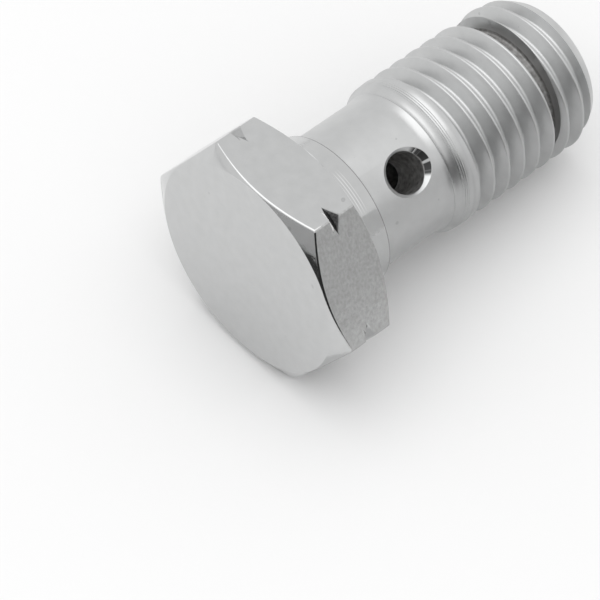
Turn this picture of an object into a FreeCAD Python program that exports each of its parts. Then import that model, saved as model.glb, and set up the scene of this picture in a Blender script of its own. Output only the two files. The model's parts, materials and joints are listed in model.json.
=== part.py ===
"""Banjo bolt, M10 x 1.25 by 20 mm, with a 14 mm hexagon head.

One piece of plated steel: turned, drilled across and along, and threaded.
It is modelled along +X from the head's end face to the tip, with one flat of the
hexagon facing up. It is then laid on its side the way it comes to rest: on the flat
opposite and on the last crest of the thread.
The frame has +Z up, and its origin is under the middle of the bolt, on the surface.
"""
import FreeCAD, Part
import math
import os

import Sketcher

V = FreeCAD.Vector

# Driving dimensions, in millimetres and degrees. A place under the head is measured
# from the bearing face, along the axis.
SIZES = [
    ("across_flats", 14.0, "hexagon, flat to flat"),
    ("head_height", 4.2, "end face to bearing face"),
    ("end_face_diameter", 13.84, "flat circle that the chamfer leaves on the end face"),
    ("bearing_face_diameter", 14.0, "the chamfer there only takes the corners, past this circle"),
    ("head_chamfer_angle", 30.0, "slope of both chamfers from the end faces"),
    ("corner_groove_place", 2.12, "end face to the V groove that nicks the corners"),
    ("corner_groove_diameter", 15.14, "at the bottom of that V"),
    ("corner_groove_angle", 84.0, "opening angle of that V"),
    ("collar_diameter", 9.8, "pilot under the head"),
    ("collar_length", 2.47, "bearing face to the step"),
    ("shank_diameter", 9.0, "waist that the fluid runs round"),
    ("flare_place", 7.35, "under the head, where the waist starts to widen"),
    ("flare_radius", 1.4, "concave round between the waist and the land"),
    ("land_diameter", 9.86, "where the flare ends"),
    ("thread_place", 9.1, "under the head, where the full thread diameter starts"),
    ("thread_diameter", 10.0, "over the crests"),
    ("thread_pitch", 1.25, "crest to crest"),
    ("thread_depth", 0.767, "crest to root"),
    ("thread_angle", 60.0, "flank to flank"),
    ("root_width", 0.22, "flat at the root"),
    ("first_root_place", 9.31, "under the head, where the thread's cut starts"),
    ("length_under_head", 20.0, "bearing face to tip"),
    ("nose_length", 1.3, "tapered lead of the thread"),
    ("nose_diameter", 8.5, "at the tip"),
    ("ring_groove_place", 16.35, "under the head, middle of the square groove near the tip"),
    ("ring_groove_width", 0.86, "along the axis"),
    ("ring_groove_diameter", 7.8, "at the bottom of that groove"),
    ("bore_diameter", 2.6, "along the axis, open at the tip"),
    ("bore_overrun", 2.1, "full bore past the middle of the cross hole"),
    ("drill_point_angle", 118.0, "cone at the blind end of the bore"),
    ("cross_hole_diameter", 2.5, "through both walls of the waist"),
    ("cross_hole_place", 5.57, "under the head, middle of the cross hole"),
    ("cross_hole_turn", 36.0, "from the upper flat's middle round to the cross hole"),
    ("countersink_diameter", 3.3, "where the cone meets the waist's outer line"),
    ("countersink_angle", 90.0, "opening angle of both countersinks"),
    ("cut_clearance", 1.0, "how far outside the metal a cutting outline starts"),
]

doc = FreeCAD.newDocument("banjo_bolt")
sheet = doc.addObject("Spreadsheet::Sheet", "sizes")
for row, (alias, value, note) in enumerate(SIZES, start=1):
    sheet.set(f"A{row}", alias)
    sheet.set(f"B{row}", str(value))
    sheet.set(f"C{row}", note)
    sheet.setAlias(f"B{row}", alias)
doc.recompute()

body = doc.addObject("PartDesign::Body", "banjo_bolt")
body.Label = "banjo_bolt"

# Lines that several outlines share, as expressions of the sheet
BEARING_FACE = "sizes.head_height"
TIP = "(sizes.head_height + sizes.length_under_head)"
WAIST = "sizes.shank_diameter / 2"
CREST = "sizes.thread_diameter / 2"
OUTSIDE_HEAD = "(sizes.across_flats / sqrt(3) + sizes.cut_clearance)"


def new_sketch(name, role):
    """An empty sketch on one of the body's own origin planes."""
    sketch = body.newObject("Sketcher::SketchObject", name)
    plane = next(f for f in body.Origin.OriginFeatures if f.Role == role)
    sketch.AttachmentSupport = [(plane, "")]
    sketch.MapMode = "FlatFace"
    return sketch


def hold(sketch, kind, line, point, expression):
    """Hold one point of the sketch at the distance from its origin that the sheet gives."""
    index = sketch.addConstraint(Sketcher.Constraint(kind, -1, 1, line, point, 1.0))
    sketch.setExpression(f"Constraints[{index}]", expression)


def outline(name, corners, role="XZ_Plane", curves=()):
    """A closed outline. Each corner is a pair of expressions, along the axis and away from it.

    The side that starts at a corner named in curves is left open, for an arc.
    """
    sketch = new_sketch(name, role)
    count = len(corners)
    lines = {}
    for i in range(count):
        if i in curves:
            continue
        turn = 2 * math.pi / count
        start = V(math.cos(turn * i), math.sin(turn * i), 0)
        end = V(math.cos(turn * (i + 1)), math.sin(turn * (i + 1)), 0)
        lines[i] = sketch.addGeometry(Part.LineSegment(start, end), False)
    for i, (along, outward) in enumerate(corners):
        before = (i - 1) % count
        if i in lines and before in lines:
            sketch.addConstraint(Sketcher.Constraint("Coincident", lines[before], 2, lines[i], 1))
        line, point = (lines[i], 1) if i in lines else (lines[before], 2)
        hold(sketch, "DistanceX", line, point, along)
        hold(sketch, "DistanceY", line, point, outward)
    return sketch, lines


def revolved(kind, name, sketch, axis="H_Axis"):
    """A Revolution adds the sketch's outline, and a Groove cuts it, all the way round."""
    feature = body.newObject(f"PartDesign::{kind}", name)
    feature.Profile = sketch
    feature.ReferenceAxis = (sketch, [axis])
    feature.Angle = 360.0
    return feature


def make_head():
    """Hexagonal prism with one pair of flats level."""
    flat = "sizes.across_flats / 2"
    corner = "sizes.across_flats / sqrt(3)"
    sketch, _ = outline("hexagon", [
        (corner, "0"),
        (f"{corner} / 2", flat),
        (f"-{corner} / 2", flat),
        (f"-{corner}", "0"),
        (f"-{corner} / 2", f"-{flat}"),
        (f"{corner} / 2", f"-{flat}"),
    ], "YZ_Plane")
    prism = body.newObject("PartDesign::Pad", "head_prism")
    prism.Profile = sketch
    prism.setExpression("Length", "sizes.head_height")


def make_head_cuts():
    """A chamfer at each end, and the V groove that nicks only the six corners."""
    fall = "tan(sizes.head_chamfer_angle)"
    end_rim = "sizes.end_face_diameter / 2"
    sketch, _ = outline("end_chamfer", [
        ("0", end_rim),
        (f"({OUTSIDE_HEAD} - {end_rim}) * {fall}", OUTSIDE_HEAD),
        ("0", OUTSIDE_HEAD),
    ])
    revolved("Groove", "end_face_chamfer", sketch)

    bearing_rim = "sizes.bearing_face_diameter / 2"
    sketch, _ = outline("bearing_chamfer", [
        (BEARING_FACE, bearing_rim),
        (BEARING_FACE, OUTSIDE_HEAD),
        (f"{BEARING_FACE} - ({OUTSIDE_HEAD} - {bearing_rim}) * {fall}", OUTSIDE_HEAD),
    ])
    revolved("Groove", "bearing_face_chamfer", sketch)

    floor = "sizes.corner_groove_diameter / 2"
    half_mouth = f"({OUTSIDE_HEAD} - {floor}) * tan(sizes.corner_groove_angle / 2)"
    sketch, _ = outline("corner_v", [
        ("sizes.corner_groove_place", floor),
        (f"sizes.corner_groove_place + {half_mouth}", OUTSIDE_HEAD),
        (f"sizes.corner_groove_place - {half_mouth}", OUTSIDE_HEAD),
    ])
    revolved("Groove", "corner_groove", sketch)


def make_shank():
    """Collar, waist, flare, thread blank and nose, turned from one outline."""
    collar = "sizes.collar_diameter / 2"
    step = f"{BEARING_FACE} + sizes.collar_length"
    flare_start = f"{BEARING_FACE} + sizes.flare_place"
    land = "sizes.land_diameter / 2"
    rise = f"({land} - {WAIST})"
    flare_length = f"sqrt({rise} * (2 * sizes.flare_radius - {rise}))"
    waist_side, flare_side, land_side = 3, 4, 5
    sketch, lines = outline("shank_outline", [
        (BEARING_FACE, "0"),
        (BEARING_FACE, collar),
        (step, collar),
        (step, WAIST),
        (flare_start, WAIST),
        (f"{flare_start} + {flare_length}", land),
        (f"{BEARING_FACE} + sizes.thread_place", CREST),
        (f"{TIP} - sizes.nose_length", CREST),
        (TIP, "sizes.nose_diameter / 2"),
        (TIP, "0"),
    ], curves=(flare_side,))
    doc.recompute()
    start = sketch.Geometry[lines[waist_side]].EndPoint
    end = sketch.Geometry[lines[land_side]].StartPoint
    radius = float(sheet.get("flare_radius"))
    centre = start + V(0, radius, 0)
    opening = math.asin((end.x - start.x) / radius)
    flare = Part.ArcOfCircle(Part.Circle(centre, V(0, 0, 1), radius), -math.pi / 2, opening - math.pi / 2)
    arc = sketch.addGeometry(flare, False)
    sketch.addConstraint(Sketcher.Constraint("Coincident", lines[waist_side], 2, arc, 1))
    sketch.addConstraint(Sketcher.Constraint("Coincident", arc, 2, lines[land_side], 1))
    size = sketch.addConstraint(Sketcher.Constraint("Radius", arc, radius))
    sketch.setExpression(f"Constraints[{size}]", "sizes.flare_radius")
    revolved("Revolution", "shank", sketch)


def make_thread():
    """A V cut along a right-hand helix, from the land's underside out over the nose."""
    slope = "tan(sizes.thread_angle / 2)"
    root = f"({CREST} - sizes.thread_depth)"
    crest_width = f"(sizes.thread_pitch - sizes.root_width - 2 * sizes.thread_depth * {slope})"
    mouth = f"({CREST} + 0.3 * {crest_width} / {slope})"
    half_root = "sizes.root_width / 2"
    half_mouth = f"({half_root} + ({mouth} - {root}) * {slope})"
    first = f"{BEARING_FACE} + sizes.first_root_place"
    sketch, _ = outline("thread_v", [
        (f"{first} - {half_root}", f"-{root}"),
        (f"{first} - {half_mouth}", f"-{mouth}"),
        (f"{first} + {half_mouth}", f"-{mouth}"),
        (f"{first} + {half_root}", f"-{root}"),
    ])
    thread = body.newObject("PartDesign::SubtractiveHelix", "thread")
    thread.Profile = sketch
    thread.ReferenceAxis = (sketch, ["H_Axis"])
    thread.Mode = "pitch-height-angle"
    thread.setExpression("Pitch", "sizes.thread_pitch")
    thread.setExpression("Height", "sizes.length_under_head - sizes.first_root_place + sizes.cut_clearance")
    thread.LeftHanded = False
    thread.Reversed = False


def make_ring_groove():
    """The square groove that cuts through the thread near the tip."""
    middle = f"{BEARING_FACE} + sizes.ring_groove_place"
    half = "sizes.ring_groove_width / 2"
    floor = "sizes.ring_groove_diameter / 2"
    outside = f"({CREST} + sizes.cut_clearance)"
    sketch, _ = outline("ring_groove_outline", [
        (f"{middle} - {half}", floor),
        (f"{middle} + {half}", floor),
        (f"{middle} + {half}", outside),
        (f"{middle} - {half}", outside),
    ])
    revolved("Groove", "ring_groove", sketch)


def make_bore():
    """Blind bore from the tip, past the cross hole, with the drill's cone at its end."""
    radius = "sizes.bore_diameter / 2"
    full_end = f"({BEARING_FACE} + sizes.cross_hole_place - sizes.bore_overrun)"
    sketch, _ = outline("bore_outline", [
        (f"{full_end} - {radius} / tan(sizes.drill_point_angle / 2)", "0"),
        (full_end, radius),
        (f"{TIP} + sizes.cut_clearance", radius),
        (f"{TIP} + sizes.cut_clearance", "0"),
    ])
    revolved("Groove", "bore", sketch)


def make_cross_hole():
    """One hole through both walls of the waist, countersunk at both mouths."""
    middle = f"({BEARING_FACE} + sizes.cross_hole_place)"
    radius = "sizes.cross_hole_diameter / 2"
    spread = "tan(sizes.countersink_angle / 2)"
    cone_end = f"({WAIST} - (sizes.countersink_diameter / 2 - {radius}) / {spread})"
    outside = f"({WAIST} + sizes.cut_clearance)"
    cone_mouth = f"(sizes.countersink_diameter / 2 + sizes.cut_clearance * {spread})"
    sketch, lines = outline("cross_hole_outline", [
        (middle, f"-{outside}"),
        (f"{middle} + {cone_mouth}", f"-{outside}"),
        (f"{middle} + {radius}", f"-{cone_end}"),
        (f"{middle} + {radius}", cone_end),
        (f"{middle} + {cone_mouth}", outside),
        (middle, outside),
    ])
    sketch.AttachmentOffset = FreeCAD.Placement(V(0, 0, 0), FreeCAD.Rotation(V(1, 0, 0), 1.0))
    sketch.setExpression("AttachmentOffset.Rotation.Angle", "sizes.cross_hole_turn * 1 deg")
    revolved("Groove", "cross_hole", sketch, f"Edge{lines[5] + 1}")


def lay_on_side():
    """Tip the bolt until a flat of the head and the last full crest touch the surface."""
    flat = float(sheet.get("across_flats")) / 2
    crest = float(sheet.get("thread_diameter")) / 2
    chamfer = math.tan(math.radians(float(sheet.get("head_chamfer_angle"))))
    lost = max(0, flat - float(sheet.get("bearing_face_diameter")) / 2) * chamfer
    crest_to_tip = float(sheet.get("nose_length"))
    between = float(sheet.get("length_under_head")) - crest_to_tip + lost
    dip = math.degrees(math.atan2(flat - crest, between))
    turn = FreeCAD.Rotation(V(0, 1, 0), dip)
    box = body.Shape.transformed(FreeCAD.Placement(V(0, 0, 0), turn).toMatrix(), True).optimalBoundingBox()
    body.Placement = FreeCAD.Placement(V(-box.Center.x, -box.Center.y, -box.ZMin), turn)
    print("dip of the axis", round(dip, 4), "degrees, middle of the end face", body.Placement.Base)


make_head()
make_head_cuts()
make_shank()
make_ring_groove()
make_bore()
make_cross_hole()
make_thread()
doc.recompute()
lay_on_side()
doc.recompute()

for thing in doc.Objects:
    if "Invalid" in thing.State or "Error" in thing.State:
        raise RuntimeError(f"{thing.Name} failed: {thing.State}")
shape = body.Shape
if shape.isNull() or not shape.isValid() or len(shape.Solids) != 1:
    raise RuntimeError("the bolt is not one valid solid")
print("volume", round(shape.Volume, 2), "cubic mm, box", shape.optimalBoundingBox())

os.makedirs("parts", exist_ok=True)
shape.exportStep("parts/banjo_bolt.step")
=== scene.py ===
"""Looks of the banjo bolt: one turned, drilled, threaded and chrome plated piece.

The bolt's own sizes are in millimetres, along its axis from the end face of the head,
as the turner measures them. The finished piece is laid where the frame has it.
"""
import json
import math

import bmesh
import bpy
from mathutils import Matrix, Vector


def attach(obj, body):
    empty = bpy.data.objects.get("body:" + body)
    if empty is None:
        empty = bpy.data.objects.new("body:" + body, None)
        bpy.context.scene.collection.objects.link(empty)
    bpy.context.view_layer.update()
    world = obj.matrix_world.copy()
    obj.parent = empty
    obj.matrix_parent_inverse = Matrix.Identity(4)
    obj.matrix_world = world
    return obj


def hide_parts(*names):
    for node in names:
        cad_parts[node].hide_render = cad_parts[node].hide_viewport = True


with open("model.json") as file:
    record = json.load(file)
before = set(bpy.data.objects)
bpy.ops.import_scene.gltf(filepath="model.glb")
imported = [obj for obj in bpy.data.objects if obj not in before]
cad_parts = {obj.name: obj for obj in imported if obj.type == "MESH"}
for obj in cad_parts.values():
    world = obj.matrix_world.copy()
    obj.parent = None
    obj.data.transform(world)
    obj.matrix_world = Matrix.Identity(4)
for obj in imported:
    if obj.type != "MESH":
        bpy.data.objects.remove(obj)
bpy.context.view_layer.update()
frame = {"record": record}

# Turned blank. The real bolt starts as hexagon bar, turned down in one setting to the
# collar, the waist with its flare, the thread's blank, the ring groove and the nose.
# The head's two chamfers and the blind bore are cut then too.
HEAD_HEIGHT = 4.2
TIP = HEAD_HEIGHT + 20.0
ACROSS_FLATS = 14.0
OVER_CORNERS = ACROSS_FLATS / 2 / math.cos(math.radians(30)) + 0.25
CHAMFER = math.tan(math.radians(30))
END_RIM = 6.92
BEARING_RIM = 7.0
COLLAR_RADIUS, COLLAR_END = 4.9, HEAD_HEIGHT + 2.47
WAIST_RADIUS = 4.5
CROSS_HOLE = HEAD_HEIGHT + 5.57
FLARE, FLARE_ROUND, LAND_RADIUS = HEAD_HEIGHT + 7.35, 1.4, 4.93
SCORE_SHARE, SCORE_DEPTH = 0.55, 0.04
CREST_RADIUS, CREST_START = 5.0, HEAD_HEIGHT + 9.1
RING_GROOVE, RING_HALF, RING_FLOOR = HEAD_HEIGHT + 16.35, 0.43, 3.9
NOSE, NOSE_RADIUS = TIP - 1.3, 4.25
BORE_RADIUS, BORE_END = 1.3, CROSS_HOLE - 2.1
DRILL_POINT = 118
LATHE_STEPS = 192

bore_cone = BORE_RADIUS / math.tan(math.radians(DRILL_POINT / 2))
flare_turn = math.acos(1 - (LAND_RADIUS - WAIST_RADIUS) / FLARE_ROUND)


def flare_at(share, depth=0):
    """A corner of the outline on the flare, from the waist at nought to the land at one."""
    turn = flare_turn * share
    radius = WAIST_RADIUS + FLARE_ROUND * (1 - math.cos(turn)) - depth
    return FLARE + FLARE_ROUND * math.sin(turn), radius, 0


# One fine line is scored round the flare, and the tool leaves fine rings on the land
score = flare_at(SCORE_SHARE, SCORE_DEPTH)
flare = sorted([flare_at(i / 10) for i in range(1, 11)] + [score])
land_start = flare[-1][0]
rings = [
    (land_start + at, LAND_RADIUS + up, 0)
    for at, up in ((0.05, -0.05), (0.12, 0.02), (0.20, -0.02), (0.27, 0.03), (0.34, 0),
                   (0.41, 0.04), (0.48, 0.02), (0.55, 0.05))
]

# Each corner of the outline: place along the axis, radius, and the size of its rounding
outline = [
    (0, 0, 0),
    (0, END_RIM, 0),
    ((OVER_CORNERS - END_RIM) * CHAMFER, OVER_CORNERS, 0),
    (HEAD_HEIGHT - (OVER_CORNERS - BEARING_RIM) * CHAMFER, OVER_CORNERS, 0),
    (HEAD_HEIGHT, BEARING_RIM, 0),
    (HEAD_HEIGHT, COLLAR_RADIUS, 0.12),
    (COLLAR_END, COLLAR_RADIUS, 0.06),
    (COLLAR_END, WAIST_RADIUS, 0.05),
    (FLARE, WAIST_RADIUS, 0),
    *flare,
    *rings,
    (CREST_START, CREST_RADIUS, 0),
    (RING_GROOVE - RING_HALF, CREST_RADIUS, 0.05),
    (RING_GROOVE - RING_HALF, RING_FLOOR, 0.12),
    (RING_GROOVE + RING_HALF, RING_FLOOR, 0.12),
    (RING_GROOVE + RING_HALF, CREST_RADIUS, 0.05),
    (NOSE, CREST_RADIUS, 0.30),
    (TIP, NOSE_RADIUS, 0.25),
    (TIP, BORE_RADIUS, 0.12),
    (BORE_END, BORE_RADIUS, 0),
    (BORE_END - bore_cone, 0, 0),
]


def turned(corners, steps, ring=False):
    """Spin an outline all the way round the x axis, into a closed solid.

    The outline starts and ends on the axis, or closes on itself for a ring.
    """
    axis = (1, 0, 0)
    bm = bmesh.new()
    points = [bm.verts.new((along, 0, radius)) for along, radius, _ in corners]
    following = points[1:] + (points[:1] if ring else [])
    for a, b in zip(points, following):
        bm.edges.new((a, b))
    for point, (_, _, rounding) in zip(points, corners):
        if rounding:
            bmesh.ops.bevel(bm, geom=[point], offset=rounding, offset_type="OFFSET", segments=4,
                            profile=0.5, affect="VERTICES", material=-1)
    bmesh.ops.spin(bm, geom=bm.verts[:] + bm.edges[:], axis=axis, angle=math.tau, steps=steps,
                   use_merge=True)
    bmesh.ops.remove_doubles(bm, verts=bm.verts[:], dist=1e-5)
    bmesh.ops.rotate(bm, verts=bm.verts[:], matrix=Matrix.Rotation(math.pi / steps, 3, axis))
    bmesh.ops.recalc_face_normals(bm, faces=bm.faces[:])
    return bm


def kept(bm, name):
    """Put a finished mesh into the scene as an object of its own."""
    mesh = bpy.data.meshes.new(name)
    bm.to_mesh(mesh)
    bm.free()
    thing = bpy.data.objects.new(name, mesh)
    bpy.context.scene.collection.objects.link(thing)
    return thing


blank = turned(outline, LATHE_STEPS)

# Hexagon. The bar's six flats are left where the turning did not reach, so each ends in
# the curves that the chamfers cut. Tumbling has rounded the corners and the flats' edges.
CORNER_ROUND, END_ROUND, BEARING_ROUND = 0.12, 0.09, 0.03
CORNERS_OUTSIDE, END_OUTSIDE, BEARING_OUTSIDE = 7.9, 6.95, 7.06


def outward_at(degrees):
    """The direction straight out from the axis, so far round from the upper flat."""
    turn = math.radians(degrees)
    return Vector((0, -math.sin(turn), math.cos(turn)))


for side in range(6):
    outward = outward_at(60 * side)
    bmesh.ops.bisect_plane(blank, geom=blank.verts[:] + blank.edges[:] + blank.faces[:],
                           plane_co=outward * ACROSS_FLATS / 2, plane_no=outward, clear_outer=True)
    bmesh.ops.contextual_create(blank, geom=[e for e in blank.edges if e.is_boundary])


def head_edges(least, most, outside, start, end):
    """Edges that turn between two angles, outside a radius, between two places."""
    return [
        e for e in blank.edges
        if min(v.co.x for v in e.verts) > start and max(v.co.x for v in e.verts) < end
        and min(v.co.yz.length for v in e.verts) > outside
        and math.radians(least) < e.calc_face_angle(0) < math.radians(most)
    ]


def rounded(edges, offset, segments):
    """Round some of the head's edges."""
    bmesh.ops.bevel(blank, geom=edges, offset=offset, offset_type="OFFSET", segments=segments,
                    profile=0.5, affect="EDGES", clamp_overlap=False, material=-1)


bar_corners = [e for e in head_edges(50, 70, CORNERS_OUTSIDE, 0, HEAD_HEIGHT)
               if abs((e.verts[0].co - e.verts[1].co).normalized().x) > 0.99]
rounded(bar_corners, CORNER_ROUND, 4)
rounded(head_edges(40, 80, END_OUTSIDE, -0.01, HEAD_HEIGHT / 2), END_ROUND, 3)
rounded(head_edges(40, 80, BEARING_OUTSIDE, HEAD_HEIGHT / 2, HEAD_HEIGHT), BEARING_ROUND, 3)
bmesh.ops.remove_doubles(blank, verts=blank.verts[:], dist=1e-4)
bolt = kept(blank, "bolt")


def cut_away(cutter):
    """Cut one solid out of the bolt, as a drill or a thread tool does."""
    cut = bolt.modifiers.new("cut", "BOOLEAN")
    cut.operation = "DIFFERENCE"
    cut.solver = "EXACT"
    cut.object = cutter
    shaped = bolt.evaluated_get(bpy.context.evaluated_depsgraph_get())
    bolt.data = bpy.data.meshes.new_from_object(shaped)
    bolt.modifiers.clear()
    bpy.data.objects.remove(cutter)


# Nick. A V tool has cut a ring into the six corners alone, after they were rounded, and a
# finer line beside it, so that a thin lip stands between the two.
NICK, NICK_FLOOR, NICK_SLOPE = 2.12, 7.57, math.tan(math.radians(42))
LIP, LINE_FLOOR, LINE_HALF = 1.90, 7.71, 0.10

nick_half = (OVER_CORNERS - NICK_FLOOR) * NICK_SLOPE
cut_away(kept(turned([
    (NICK, NICK_FLOOR, 0),
    (NICK + nick_half, OVER_CORNERS, 0),
    (LIP - 2 * LINE_HALF, OVER_CORNERS, 0),
    (LIP - LINE_HALF, LINE_FLOOR, 0),
    (LIP, NICK_FLOOR + (NICK - LIP) / NICK_SLOPE, 0),
], LATHE_STEPS, ring=True), "nick_tool"))

# Cross hole. It is drilled through the waist into the bore, and countersunk at both
# mouths so that the fluid can pass and no burr is left.
CROSS_TURN = 36
CROSS_RADIUS, SINK_RADIUS = 1.25, 1.65
CLEAR = 1.5

drill = turned([
    (-WAIST_RADIUS - CLEAR, 0, 0),
    (-WAIST_RADIUS - CLEAR, SINK_RADIUS + CLEAR, 0),
    (SINK_RADIUS - CROSS_RADIUS - WAIST_RADIUS, CROSS_RADIUS, 0.05),
    (WAIST_RADIUS - SINK_RADIUS + CROSS_RADIUS, CROSS_RADIUS, 0.05),
    (WAIST_RADIUS + CLEAR, SINK_RADIUS + CLEAR, 0),
    (WAIST_RADIUS + CLEAR, 0, 0),
], 96)
drill.transform(Matrix.Translation((CROSS_HOLE, 0, 0))
                @ Matrix.Rotation(math.radians(CROSS_TURN), 4, "X")
                @ Matrix.Rotation(math.radians(-90), 4, "Y"))
cut_away(kept(drill, "drill"))

# Thread. A right-hand M10 x 1.25 thread, cut from the land out over the nose, with its
# crests and roots a little rounded.
PITCH = 1.25
DEPTH = 0.767
FIRST_ROOT = HEAD_HEIGHT + 9.31
RUN_OUT = 0.9
FLANK = math.tan(math.radians(30))
ROOT_HALF = 0.11
ROOT_ROUND, CREST_ROUND = 0.08, 0.05
SHOULDER, SHOULDER_DROP, SHOULDER_RISE, TOOL_TOP = 0.06, 0.004, 0.006, 0.4
STEPS_PER_TURN = 128

# The tool's section is the V with a shallow shoulder at each side, which breaks the crest
mouth_half = ROOT_HALF + DEPTH * FLANK
half_section = [
    (ROOT_HALF, -DEPTH),
    (mouth_half, -SHOULDER_DROP),
    (mouth_half + SHOULDER, SHOULDER_RISE),
    (mouth_half + SHOULDER, TOOL_TOP),
]
section = [(-aside, up) for aside, up in half_section] + half_section[::-1]
tooth = bmesh.new()
points = [tooth.verts.new((FIRST_ROOT + aside, 0, -(CREST_RADIUS + up))) for aside, up in section]
tooth.faces.new(points)
for pair, rounding in (((points[0], points[-1]), ROOT_ROUND), ((points[1], points[-2]), CREST_ROUND)):
    bmesh.ops.bevel(tooth, geom=pair, offset=rounding, offset_type="OFFSET", segments=3,
                    profile=0.5, affect="VERTICES", material=-1)
bmesh.ops.delete(tooth, geom=tooth.faces[:], context="FACES_ONLY")
thread_tool = kept(tooth, "thread_tool")
lead = thread_tool.modifiers.new("lead", "SCREW")
lead.axis = "X"
lead.screw_offset = PITCH
lead.steps = lead.render_steps = STEPS_PER_TURN
lead.iterations = math.ceil((TIP + RUN_OUT - FIRST_ROOT) / PITCH)
swept = bmesh.new()
swept.from_object(thread_tool, bpy.context.evaluated_depsgraph_get())
thread_tool.modifiers.clear()
bmesh.ops.contextual_create(swept, geom=[e for e in swept.edges if e.is_boundary])
bmesh.ops.recalc_face_normals(swept, faces=swept.faces[:])
swept.to_mesh(thread_tool.data)
swept.free()
cut_away(thread_tool)

# Place and shading. The record's pilot mount says where the collar's middle lies and which
# way the axis points, so the bolt is laid along it. Flats and flanks keep flat normals.
SHARP_FROM = 25
MERGE = 2e-5

pilot = next(m for m in frame["record"]["mounts"] if m["name"] == "eye_pilot")
along = Vector(pilot["axis"]).normalized()
sideways = Vector((0, 1, 0))
upward = along.cross(sideways)
collar_middle = (HEAD_HEIGHT + COLLAR_END) / 2
head_end = Vector(pilot["pos_m"]) - along * collar_middle / 1000
laid = Matrix((along, sideways, upward)).transposed().to_4x4()
laid.translation = head_end

shading = bmesh.new()
shading.from_mesh(bolt.data)
bmesh.ops.remove_doubles(shading, verts=shading.verts[:], dist=MERGE)
bmesh.ops.dissolve_degenerate(shading, edges=shading.edges[:], dist=MERGE)
for face in shading.faces:
    face.smooth = True
for edge in shading.edges:
    edge.smooth = edge.calc_face_angle(0) < math.radians(SHARP_FROM)
shading.transform(laid @ Matrix.Scale(0.001, 4))
shading.to_mesh(bolt.data)
shading.free()
normals = bolt.modifiers.new("normals", "WEIGHTED_NORMAL")
normals.mode = "FACE_AREA"
normals.keep_sharp = True
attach(bolt, "root")
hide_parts("banjo_bolt")

# Plating. Bright chrome over turned steel: nearly a mirror on the head and duller on the
# waist and the thread, with faint turning lines and the small dimples of tumbling. Its
# patterns are drawn in the bolt's own millimetres.
chrome = bpy.data.materials.new("plated_steel")
chrome.use_nodes = True
nodes, links = chrome.node_tree.nodes, chrome.node_tree.links
surface = nodes["Principled BSDF"]
place = nodes.new("ShaderNodeTexCoord")
own = nodes.new("ShaderNodeMapping")
own.vector_type = "TEXTURE"
own.inputs["Location"].default_value = head_end
own.inputs["Rotation"].default_value = laid.to_euler()
own.inputs["Scale"].default_value = (0.001, 0.001, 0.001)
links.new(place.outputs["Object"], own.inputs["Vector"])


def noise(scale, detail, stretch=(1, 1, 1)):
    """A noise over the bolt, drawn out along an axis where stretch is small."""
    wide = nodes.new("ShaderNodeVectorMath")
    wide.operation = "MULTIPLY"
    wide.inputs[1].default_value = stretch
    texture = nodes.new("ShaderNodeTexNoise")
    texture.inputs["Scale"].default_value = scale
    texture.inputs["Detail"].default_value = detail
    links.new(own.outputs["Vector"], wide.inputs[0])
    links.new(wide.outputs["Vector"], texture.inputs["Vector"])
    return texture.outputs["Fac"]


def ramp(value, low, high):
    """Spread the middle of a noise between two levels."""
    spread = nodes.new("ShaderNodeMapRange")
    spread.inputs["From Min"].default_value = 0.3
    spread.inputs["From Max"].default_value = 0.7
    spread.inputs["To Min"].default_value = low
    spread.inputs["To Max"].default_value = high
    links.new(value, spread.inputs["Value"])
    return spread.outputs["Result"]


def sums(operation, first, second=0):
    """One sum on a value or two, each a socket or a number."""
    node = nodes.new("ShaderNodeMath")
    node.operation = operation
    for value, socket in zip((first, second), node.inputs):
        if isinstance(value, (int, float)):
            socket.default_value = value
        else:
            links.new(value, socket)
    return node.outputs["Value"]


def times(first, *others):
    """Values multiplied together."""
    for other in others:
        first = sums("MULTIPLY", first, other)
    return first


def over(value, edge, width):
    """Nought below an edge, one above it, with a soft change between."""
    change = nodes.new("ShaderNodeMapRange")
    change.interpolation_type = "SMOOTHSTEP"
    change.inputs["From Min"].default_value = edge - width / 2
    change.inputs["From Max"].default_value = edge + width / 2
    links.new(value, change.inputs["Value"])
    return change.outputs["Result"]


def under(value, edge, width):
    """One below an edge, nought above it."""
    return sums("SUBTRACT", 1, over(value, edge, width))


def between(value, start, end, width):
    """One between two places, nought outside them."""
    return sums("SUBTRACT", over(value, start, width), over(value, end, width))


def blend_of(share, low, high):
    """Blend two colours."""
    mix = nodes.new("ShaderNodeMix")
    mix.data_type = "RGBA"
    for value, socket in ((share, mix.inputs[0]), (low, mix.inputs[6]), (high, mix.inputs[7])):
        if isinstance(value, tuple):
            socket.default_value = value
        else:
            links.new(value, socket)
    return mix.outputs[2]


def along_line(direction):
    """How far a point lies along a direction from the bolt's origin, in millimetres."""
    dot = nodes.new("ShaderNodeVectorMath")
    dot.operation = "DOT_PRODUCT"
    dot.inputs[1].default_value = direction
    links.new(own.outputs["Vector"], dot.inputs[0])
    return dot.outputs["Value"]


def relief(height, depth, below=None):
    """A bump of a depth in metres, laid over another where one is given."""
    bump = nodes.new("ShaderNodeBump")
    bump.inputs["Strength"].default_value = 1.0
    bump.inputs["Distance"].default_value = depth
    links.new(height, bump.inputs["Height"])
    if below is not None:
        links.new(below, bump.inputs["Normal"])
    return bump.outputs["Normal"]


# Where a point lies: along the axis, and out from it
x = along_line((1, 0, 0))
across = nodes.new("ShaderNodeVectorMath")
across.operation = "MULTIPLY"
across.inputs[1].default_value = (0, 1, 1)
links.new(own.outputs["Vector"], across.inputs[0])
distance = nodes.new("ShaderNodeVectorMath")
distance.operation = "LENGTH"
links.new(across.outputs["Vector"], distance.inputs[0])
r = distance.outputs["Value"]

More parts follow.
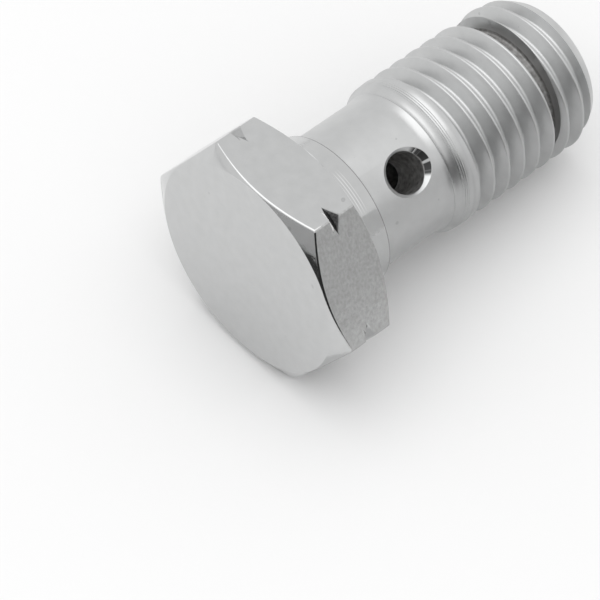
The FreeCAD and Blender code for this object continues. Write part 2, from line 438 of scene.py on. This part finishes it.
# The bolt's zones. The deep one is all that lies inside the threads' roots.
waist = between(x, COLLAR_END, CREST_START + 0.2, 0.3)
threads = over(x, CREST_START, 0.2)
collar = between(x, HEAD_HEIGHT, COLLAR_END, 0.05)
deep = times(between(x, HEAD_HEIGHT + 0.4, TIP - 0.1, 0.05), under(r, 4.16, 0.08))

# The corners' nick is painted dark as shade in its recess, most of it at one corner, and the lip
# beside it carries a painted highlight. Both lie inside the hexagon's six flats.
flats = [sums("ABSOLUTE", along_line(outward_at(turn))) for turn in (0, 60, 120)]
hexagon = sums("MAXIMUM", sums("MAXIMUM", flats[0], flats[1]), flats[2])
front_corner = over(along_line(outward_at(30)), 7, 0.5)
painted_nick_shade_side = sums("ADD", 0.25, times(front_corner, 0.75))
painted_nick_shade = times(between(x, LIP + 0.03, NICK + nick_half, 0.02), painted_nick_shade_side,
             between(hexagon, 6.3, 6.93, 0.06))
painted_lip_highlight = times(between(x, LIP - LINE_HALF + 0.01, LIP + 0.02, 0.02), painted_nick_shade_side,
            between(hexagon, 6.3, 6.985, 0.01))

# Painted shade: thin dark lines in the corner where the collar meets the head, and along the collar's
# edge above the waist
collar_ends = sums("ADD", between(x, HEAD_HEIGHT - 0.01, HEAD_HEIGHT + 0.05, 0.04),
                   between(x, COLLAR_END - 0.08, COLLAR_END - 0.02, 0.04))
painted_corner_shade = times(collar_ends, under(r, 5.1, 0.1))

# Seven fine lines that the tool left round the collar, painted bright as highlights where the light
# falls
LINE_PITCH = 0.19
wave = sums("SINE", times(x, math.tau / LINE_PITCH))
lit = over(along_line(outward_at(24)), 4.75, 0.25)
painted_tool_line_highlights = times(between(x, HEAD_HEIGHT + 0.35, HEAD_HEIGHT + 1.75, 0.1), over(wave, 0.55, 0.5), lit)

# The countersink's cutter has chattered: short marks across the cone, painted dark as shade
# towards the tip, and a painted highlight band below it
hole_side = along_line(outward_at(CROSS_TURN - 90))
hole_along = sums("SUBTRACT", x, CROSS_HOLE)
from_hole = sums("SQRT", sums("ADD", times(hole_side, hole_side), times(hole_along, hole_along)))
sink = times(between(from_hole, CROSS_RADIUS + 0.03, SINK_RADIUS + 0.03, 0.04),
             between(r, 4.05, WAIST_RADIUS - 0.015, 0.01),
             over(along_line(outward_at(CROSS_TURN)), 3.0, 0.1))
bearing = sums("ARCTAN2", hole_side, hole_along)
chatter = nodes.new("ShaderNodeTexNoise")
chatter.noise_dimensions = "1D"
chatter.inputs["Scale"].default_value = 6.0
chatter.inputs["Detail"].default_value = 3.0
links.new(bearing, chatter.inputs["W"])
painted_sink_shade = times(sink, between(bearing, -0.75, 0.75, 0.3), over(chatter.outputs["Fac"], 0.42, 0.1))
painted_sink_highlight = times(sink, between(bearing, -1.6, -0.6, 0.2))

# One flat is painted darker with a fine speckle as a painted dull reflection, and a few small dark
# specks lie all over
painted_dull_flat = times(over(along_line(outward_at(60)), ACROSS_FLATS / 2 - 0.06, 0.04),
             under(x, HEAD_HEIGHT, 0.05))
painted_flat_speckle = times(painted_dull_flat, ramp(noise(6, 7, (1, 1, 0.6)), 0.0, 0.42))
specks = over(noise(1.3, 0.5), 0.80, 0.02)

# Colours, each laid over the one before it. The collar's corners, the nick and the countersink carry
# painted shade, the tool lines, the lip and the countersink painted highlights, and one flat a painted
# dull speckle
bright = blend_of(ramp(noise(1.4, 3), 0, 1), (0.555, 0.56, 0.56, 1), (0.585, 0.59, 0.59, 1))
painted_nick_shade_tone = blend_of(ramp(noise(7, 3), 0, 1), (0.05, 0.05, 0.05, 1), (0.16, 0.16, 0.16, 1))
grain = noise(3.2, 5)
bare = blend_of(ramp(grain, 0, 1), (0.22, 0.215, 0.21, 1), (0.5, 0.495, 0.49, 1))
metal = bright
for share, colour in (
    (times(painted_corner_shade, 0.6), (0.12, 0.12, 0.12, 1)),
    (times(painted_tool_line_highlights, 0.55), (0.86, 0.86, 0.86, 1)),
    (painted_nick_shade, painted_nick_shade_tone),
    (painted_lip_highlight, (0.9, 0.9, 0.9, 1)),
    (painted_flat_speckle, (0.30, 0.295, 0.28, 1)),
    (painted_sink_shade, (0.05, 0.05, 0.05, 1)),
    (painted_sink_highlight, (0.7, 0.71, 0.71, 1)),
    (times(specks, 0.25), (0.2, 0.2, 0.2, 1)),
    (deep, bare),
):
    metal = blend_of(share, metal, colour)
links.new(metal, surface.inputs["Base Color"])

# The head is the smoothest, and the lip under its painted highlight and the countersink show less of a
# mirror
polish = ramp(noise(0.8, 4), 0.08, 0.15)
for zone, rougher in ((waist, 0.24), (threads, 0.27), (deep, 0.25)):
    polish = sums("ADD", polish, times(zone, rougher))
links.new(polish, surface.inputs["Roughness"])
mirror = sums("SUBTRACT", sums("SUBTRACT", 1, times(painted_lip_highlight, 0.8)), times(sink, 0.35))
links.new(mirror, surface.inputs["Metallic"])

# Dimples of tumbling under the faint turning lines, which are deepest on the collar
DIMPLES, TURNING = 4e-6, 2e-6
fine = times(noise(1, 2, (11, 0.03, 0.03)), 0.4)
coarse = times(noise(1, 1, (6, 0.02, 0.02)), collar, 6)
links.new(relief(sums("ADD", fine, coarse), TURNING, relief(grain, DIMPLES)), surface.inputs["Normal"])
bolt.data.materials.clear()
bolt.data.materials.append(chrome)


# Floor. A plain pale table top of a light tent, which keeps the bolt's soft shadow.
def matte(name, shade, roughness):
    """A plain grey material."""
    material = bpy.data.materials.new(name)
    material.use_nodes = True
    finish = material.node_tree.nodes["Principled BSDF"]
    finish.inputs["Base Color"].default_value = (shade, shade, shade, 1)
    finish.inputs["Roughness"].default_value = roughness
    return material


ground = bmesh.new()
bmesh.ops.create_grid(ground, x_segments=1, y_segments=1, size=1.5)
floor = kept(ground, "floor")
paper = matte("paper", 0.84, 1.0)
paper.node_tree.nodes["Principled BSDF"].inputs["Specular IOR Level"].default_value = 0.0
floor.data.materials.append(paper)


# Cards. They stand out of sight round the head's side of the tent and give the chrome the
# dark and grey bands that show its shape.
def put_card(name, foot, width, height, facing, shade, lean=90):
    """Put a card on the floor, standing or lying, where reflections alone see it.

    Its foot, width and height are in metres, and it faces and leans by degrees.
    """
    bm = bmesh.new()
    up = height / 2 * math.sin(math.radians(lean)) + 0.0002
    bmesh.ops.create_grid(bm, x_segments=1, y_segments=1, size=0.5,
                          matrix=Matrix.Translation((foot[0], foot[1], up))
                          @ Matrix.Rotation(math.radians(facing), 4, "Z")
                          @ Matrix.Rotation(math.radians(lean), 4, "Y")
                          @ Matrix.Diagonal((height, width, 1, 1)))
    card = kept(bm, name)
    card.data.materials.append(matte(name, shade, 0.9))
    card.visible_camera = False
    card.visible_diffuse = False
    card.visible_shadow = False
    return card


cards = [
    put_card("black_card", (-0.050, -0.016), 0.034, 0.0138, 0, 0.03),
    put_card("grey_card", (-0.052, -0.005), 0.044, 0.034, 0, 0.50),
    put_card("edge_card", (-0.034, -0.044), 0.084, 0.036, 61, 0.02),
    put_card("side_card", (0.030, -0.060), 0.060, 0.036, 90, 0.62),
    put_card("mat", (0.012, -0.030), 0.055, 0.050, 90, 0.62, lean=0),
]

# Light. The tent is an even white all round, with one broad soft box overhead.
world = bpy.data.worlds.new("tent")
bpy.context.scene.world = world
world.use_nodes = True
world.node_tree.nodes["Background"].inputs["Color"].default_value = (1, 1, 1, 1)
world.node_tree.nodes["Background"].inputs["Strength"].default_value = 0.92

box_lamp = bpy.data.lights.new("soft_box", "AREA")
box_lamp.shape = "SQUARE"
box_lamp.size = 0.36
box_lamp.energy = 0.36
soft_box = bpy.data.objects.new("soft_box", box_lamp)
bpy.context.scene.collection.objects.link(soft_box)
soft_box.location = (-0.04, 0.03, 0.3)

# Camera. A long lens from high on the head's side, as the photograph was taken.
lens = bpy.data.cameras.new("camera")
lens.lens = 205.33
lens.sensor_width = 36
camera = bpy.data.objects.new("camera", lens)
bpy.context.scene.collection.objects.link(camera)
bpy.context.scene.camera = camera
camera.location = (-0.083028, -0.077689, 0.170518)
camera.rotation_euler = [math.radians(a) for a in (32.331, -0.739, -42.997)]
bpy.context.scene.view_settings.view_transform = "Standard"
